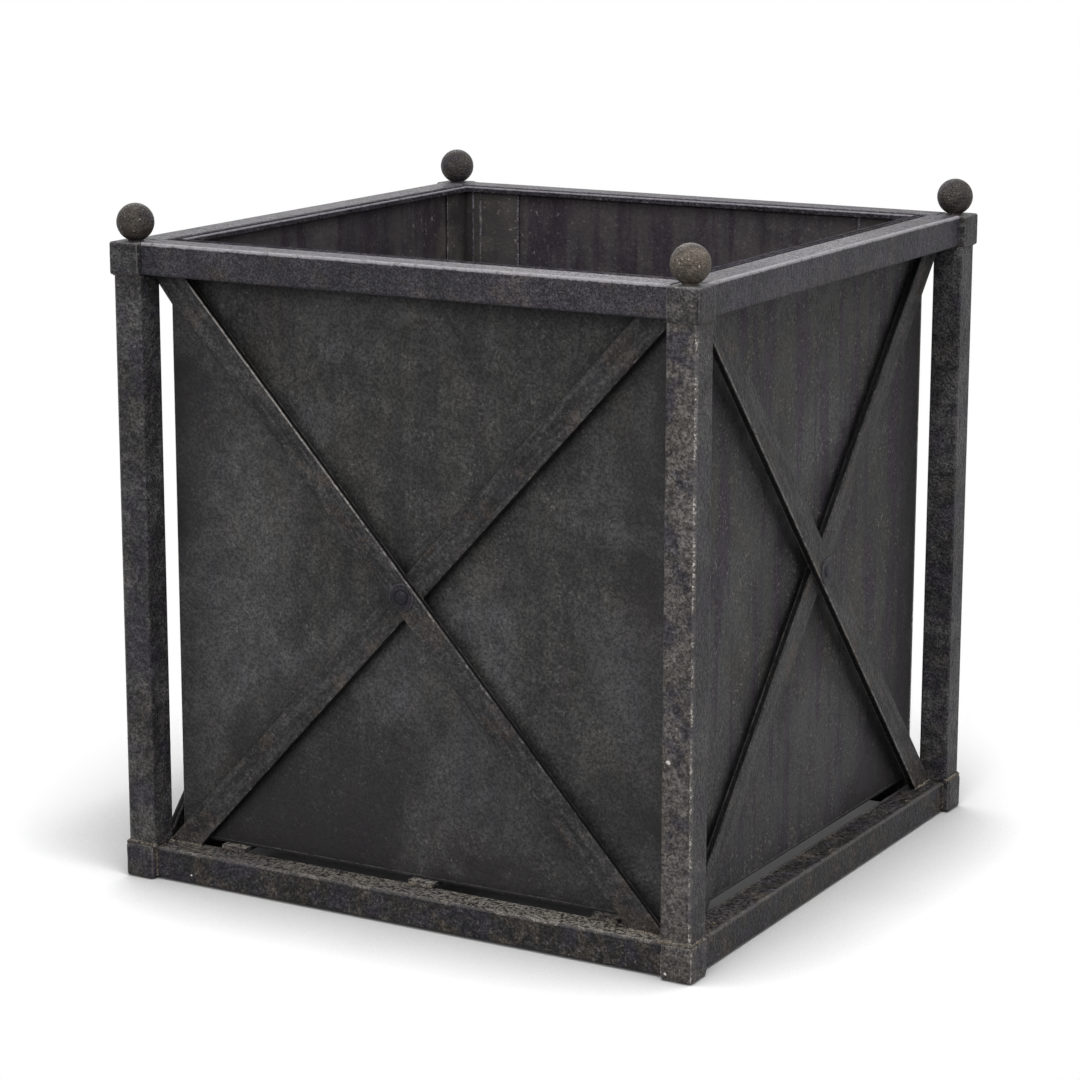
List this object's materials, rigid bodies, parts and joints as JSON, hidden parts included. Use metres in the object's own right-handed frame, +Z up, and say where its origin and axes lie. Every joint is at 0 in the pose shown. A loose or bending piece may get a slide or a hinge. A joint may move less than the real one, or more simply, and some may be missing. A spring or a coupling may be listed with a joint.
{
  "type": "versailles planter",
  "caption": "square garden planter: a cage of steel tube with crossed flat bars on each side and ball finials holds a loose sheet-metal liner for soil",
  "frame": {"origin": "the middle of the ground plane under the four feet", "axes": "+Z up, the front side faces -Y, its right-hand neighbour faces +X"},
  "size_m": [0.5116, 0.5116, 0.5426],
  "materials": {
    "frame_steel": "weathered matte",
    "bar_steel": "weathered matte, worn edges",
    "ball_steel": "weathered cast, pitted",
    "liner_sheet": "weathered matte",
    "liner_rim_steel": "worn satin"
  },
  "bodies": {
    "frame": {"post_fl": "frame_steel", "post_fr": "frame_steel", "post_bl": "frame_steel", "post_br": "frame_steel", "top_rail_front": "frame_steel", "top_rail_right": "frame_steel", "top_rail_back": "frame_steel", "top_rail_left": "frame_steel", "low_rail_front": "frame_steel", "low_rail_right": "frame_steel", "low_rail_back": "frame_steel", "low_rail_left": "frame_steel", "cap_fl": "frame_steel", "cap_fr": "frame_steel", "cap_bl": "frame_steel", "cap_br": "frame_steel", "foot_fl": "frame_steel", "foot_fr": "frame_steel", "foot_bl": "frame_steel", "foot_br": "frame_steel", "finial_fl": "ball_steel", "finial_fr": "ball_steel", "finial_bl": "ball_steel", "finial_br": "ball_steel", "bar_fore_front": "bar_steel", "bar_fore_right": "bar_steel", "bar_fore_back": "bar_steel", "bar_fore_left": "bar_steel", "bar_rear_front": "bar_steel", "bar_rear_right": "bar_steel", "bar_rear_back": "bar_steel", "bar_rear_left": "bar_steel", "cross_rivets": "ball_steel", "strap_left": "bar_steel", "strap_middle": "bar_steel", "strap_right": "bar_steel"},
    "liner": {"liner_floor": "liner_sheet", "liner_wall_front": "liner_sheet", "liner_wall_right": "liner_sheet", "liner_wall_back": "liner_sheet", "liner_wall_left": "liner_sheet", "liner_rim_front": "liner_rim_steel", "liner_rim_right": "liner_rim_steel", "liner_rim_back": "liner_rim_steel", "liner_rim_left": "liner_rim_steel", "liner_angle_fl": "liner_sheet", "liner_angle_fr": "liner_sheet", "liner_angle_bl": "liner_sheet", "liner_angle_br": "liner_sheet"}
  },
  "joints": [
    {"name": "liner_lift", "type": "slide", "parent": "frame", "child": "liner", "axis": [0, 0, 1], "range_m": [0, 0.52]}
  ]
}
